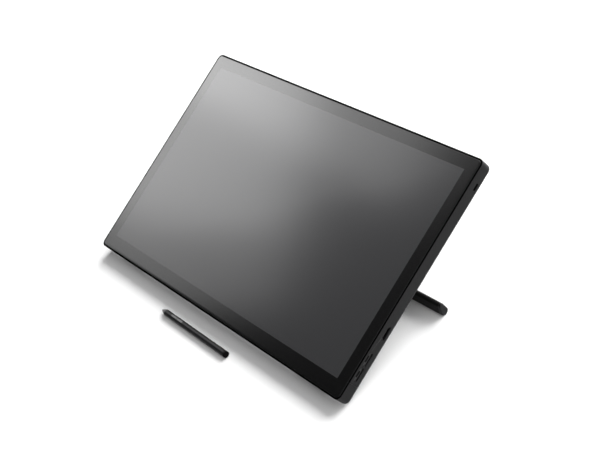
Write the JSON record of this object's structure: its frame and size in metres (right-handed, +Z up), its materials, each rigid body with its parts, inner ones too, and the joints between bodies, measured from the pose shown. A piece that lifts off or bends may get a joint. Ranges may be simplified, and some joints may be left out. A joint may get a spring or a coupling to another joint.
{
  "type": "pen drawing tablet",
  "caption": "Wide pen drawing display standing at a low working angle on front feet and a folding rear foot bar, with a battery-free side-switch pen lying in front of it.",
  "frame": {"origin": "on the floor under the centre of the whole object, pen included", "axes": "+X to the user's right along the bottom edge, +Y away from the user, +Z up"},
  "size_m": [0.5674, 0.3498, 0.1514],
  "materials": {
    "etched_glass": "fine etched, dark behind",
    "adhesive": "matte",
    "display_cell": "smooth",
    "circuit_board": "satin solder mask",
    "sheet_steel": "satin",
    "frame_metal": "cast, matte",
    "housing_plastic": "fine matte moulding",
    "trim_plastic": "matte",
    "thermal_rubber": "soft matte",
    "ribbon": "satin film",
    "foot_rubber": "matte",
    "insert_brass": "turned",
    "fastener_steel": "black oxide",
    "pen_plastic": "soft matte",
    "pen_cone_plastic": "satin",
    "pen_key_plastic": "satin",
    "pen_tail_plastic": "satin",
    "nib_plastic": "matte",
    "ferrite": "matte"
  },
  "bodies": {
    "tablet": {"backlight_unit": "display_cell", "board_shield": "sheet_steel", "bonding_layer": "adhesive", "bottom_rail": "housing_plastic", "bracket_screws": "fastener_steel", "cover_screws": "fastener_steel", "display_panel": "display_cell", "driver_board": "circuit_board", "friction_washers": "fastener_steel", "front_foot_left": "foot_rubber", "front_foot_right": "foot_rubber", "front_glass": "etched_glass", "glass_adhesive": "adhesive", "hdmi_port": "sheet_steel", "hinge_bracket_left": "sheet_steel", "hinge_bracket_right": "sheet_steel", "hinge_pin_left": "fastener_steel", "hinge_pin_right": "fastener_steel", "main_board": "circuit_board", "mid_frame": "frame_metal", "panel_cable": "ribbon", "port_board": "circuit_board", "port_cable": "ribbon", "port_trim": "trim_plastic", "power_board": "circuit_board", "power_switch": "trim_plastic", "rear_cover": "housing_plastic", "rest_pads": "foot_rubber", "sensor_board": "circuit_board", "sensor_cable": "ribbon", "sensor_controller": "circuit_board", "shield_plate": "sheet_steel", "thermal_pad": "thermal_rubber", "usb_c_port_a": "sheet_steel", "usb_c_port_b": "sheet_steel", "vesa_inserts": "insert_brass"},
    "stand": {"stand_arm_left": "frame_metal", "stand_arm_right": "frame_metal", "stand_bar": "frame_metal", "stand_sleeve": "foot_rubber", "bar_cap_left": "housing_plastic", "bar_cap_right": "housing_plastic"},
    "power_button": {"power_button": "trim_plastic"},
    "pen": {"pen_barrel": "pen_plastic", "pen_cone": "pen_cone_plastic", "pen_coil": "ferrite", "pen_pressure_sensor": "ferrite", "pen_switch_board": "circuit_board", "pen_tail_cap": "pen_tail_plastic"},
    "pen_nib": {"pen_nib": "nib_plastic"},
    "pen_switch_1": {"pen_switch_1": "pen_key_plastic"},
    "pen_switch_2": {"pen_switch_2": "pen_key_plastic"}
  },
  "joints": [
    {"name": "stand_fold", "type": "hinge", "parent": "tablet", "child": "stand", "pos_m": [0, 0.03138, 0.06095], "axis": [-1, 0, 0], "range_deg": [0, 73.6]},
    {"name": "power_button_press", "type": "slide", "parent": "tablet", "child": "power_button", "axis": [-1, 0, 0], "range_m": [0, 0.0008], "stiffness_N_per_m": 2000},
    {"name": "pen_lift", "type": "slide", "parent": "tablet", "child": "pen", "axis": [0, 0, 1], "range_m": [0, 0.15]},
    {"name": "pen_nib_press", "type": "slide", "parent": "pen", "child": "pen_nib", "axis": [1, -0.0052, 0], "range_m": [0, 0.0005], "stiffness_N_per_m": 4000},
    {"name": "pen_switch_1_press", "type": "slide", "parent": "pen", "child": "pen_switch_1", "axis": [0, 0, -1], "range_m": [0, 0.0004], "stiffness_N_per_m": 2500},
    {"name": "pen_switch_2_press", "type": "slide", "parent": "pen", "child": "pen_switch_2", "axis": [0, 0, -1], "range_m": [0, 0.0004], "stiffness_N_per_m": 2500}
  ]
}
